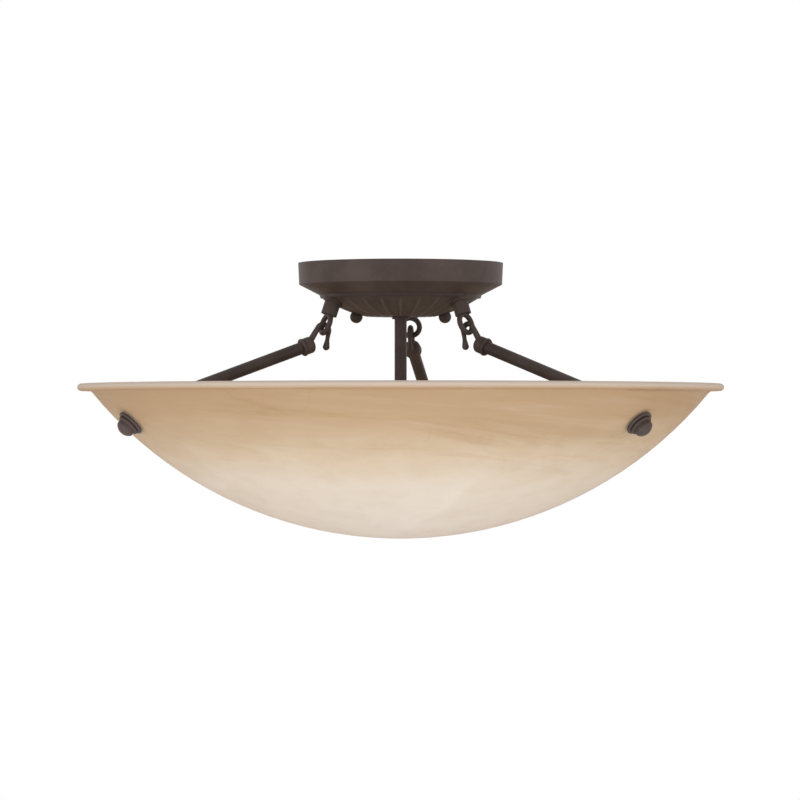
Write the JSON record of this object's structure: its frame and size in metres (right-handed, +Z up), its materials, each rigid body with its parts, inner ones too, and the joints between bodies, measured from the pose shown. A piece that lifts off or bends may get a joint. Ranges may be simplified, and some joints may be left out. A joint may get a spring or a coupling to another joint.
{
  "type": "semi flush ceiling light",
  "caption": "Shallow glass bowl hung by bent rods and open hooks from rings under a small fluted metal ceiling canopy.",
  "frame": {"origin": "on the canopy's axis at the ceiling plane, the middle of the mounting bar's slots", "axes": "+Z up into the ceiling; +X along the mounting bar, to the right in the picture; the picture looks along +Y"},
  "size_m": [0.5079, 0.508, 0.217],
  "materials": {
    "bronze": "satin oil-rubbed bronze, dark brown",
    "alabaster_glass": "smooth milky amber glass with soft cloudy streaks, opaque",
    "clear_gasket": "pale translucent silicone",
    "galvanised_steel": "zinc-plated steel",
    "green_screw": "green-dyed earth screw",
    "porcelain": "white glazed porcelain",
    "brass": "plain brass"
  },
  "bodies": {
    "fixed_canopy": {"mounting_bar": "galvanised_steel", "ground_screw": "green_screw", "canopy_screws": "galvanised_steel", "screw_lock_nuts": "galvanised_steel", "canopy": "bronze", "ball_nut_left": "bronze", "ball_nut_right": "bronze", "stem": "bronze", "stem_collar": "bronze", "stem_lock_nut": "galvanised_steel", "cluster_lock_nut": "galvanised_steel", "cluster_body": "bronze", "cluster_cover": "bronze", "cluster_cap_nut": "bronze", "ring_boss_left": "bronze", "hook_ring_left": "bronze", "ring_nut_left": "galvanised_steel", "ring_boss_right": "bronze", "hook_ring_right": "bronze", "ring_nut_right": "galvanised_steel", "ring_boss_rear": "bronze", "hook_ring_rear": "bronze", "ring_nut_rear": "galvanised_steel", "lamp_nipple_front": "galvanised_steel", "lampholder_front": "porcelain", "screw_shell_front": "brass", "centre_contact_front": "brass", "lamp_nipple_right": "galvanised_steel", "lampholder_right": "porcelain", "screw_shell_right": "brass", "centre_contact_right": "brass", "lamp_nipple_left": "galvanised_steel", "lampholder_left": "porcelain", "screw_shell_left": "brass", "centre_contact_left": "brass"},
    "hanging_bowl": {"glass_bowl": "alabaster_glass", "rod_hook_left": "bronze", "rod_cap_left": "bronze", "rod_left": "bronze", "rod_stud_left": "galvanised_steel", "inner_washer_left": "galvanised_steel", "inner_gasket_left": "clear_gasket", "rod_hook_right": "bronze", "rod_cap_right": "bronze", "rod_right": "bronze", "rod_stud_right": "galvanised_steel", "inner_washer_right": "galvanised_steel", "inner_gasket_right": "clear_gasket", "rod_hook_rear": "bronze", "rod_cap_rear": "bronze", "rod_rear": "bronze", "rod_stud_rear": "galvanised_steel", "inner_washer_rear": "galvanised_steel", "inner_gasket_rear": "clear_gasket"},
    "left_gasket": {"outer_gasket_left": "clear_gasket"},
    "left_finial": {"finial_left": "bronze"},
    "right_gasket": {"outer_gasket_right": "clear_gasket"},
    "right_finial": {"finial_right": "bronze"},
    "rear_gasket": {"outer_gasket_rear": "clear_gasket"},
    "rear_finial": {"finial_rear": "bronze"}
  },
  "joints": [
    {"name": "bowl_twist", "type": "hinge", "parent": "fixed_canopy", "child": "hanging_bowl", "pos_m": [0, 0, 0], "axis": [0, 0, 1], "range_deg": [-2.5, 2.5]},
    {"name": "left_gasket_slide", "type": "slide", "parent": "hanging_bowl", "child": "left_gasket", "axis": [-0.6541, -0.2776, -0.7036], "range_m": [0, 0.00763]},
    {"name": "left_finial_turn", "type": "hinge", "parent": "left_gasket", "child": "left_finial", "pos_m": [-0.20538, -0.08718, -0.12495], "axis": [-0.6541, -0.2776, -0.7036], "range_deg": [0, 2160]},
    {"name": "right_gasket_slide", "type": "slide", "parent": "hanging_bowl", "child": "right_gasket", "axis": [0.5675, -0.4276, -0.7036], "range_m": [0, 0.00763]},
    {"name": "right_finial_turn", "type": "hinge", "parent": "right_gasket", "child": "right_finial", "pos_m": [0.17819, -0.13427, -0.12495], "axis": [0.5675, -0.4276, -0.7036], "range_deg": [0, 2160]},
    {"name": "rear_gasket_slide", "type": "slide", "parent": "hanging_bowl", "child": "rear_gasket", "axis": [0.0866, 0.7053, -0.7036], "range_m": [0, 0.00763]},
    {"name": "rear_finial_turn", "type": "hinge", "parent": "rear_gasket", "child": "rear_finial", "pos_m": [0.02719, 0.22145, -0.12495], "axis": [0.0866, 0.7053, -0.7036], "range_deg": [0, 2160]}
  ],
  "couplings": [
    {"joint": "left_gasket_slide", "follows": "left_finial_turn", "m_per_rad": 0.00020213},
    {"joint": "right_gasket_slide", "follows": "right_finial_turn", "m_per_rad": 0.00020213},
    {"joint": "rear_gasket_slide", "follows": "rear_finial_turn", "m_per_rad": 0.00020213}
  ]
}
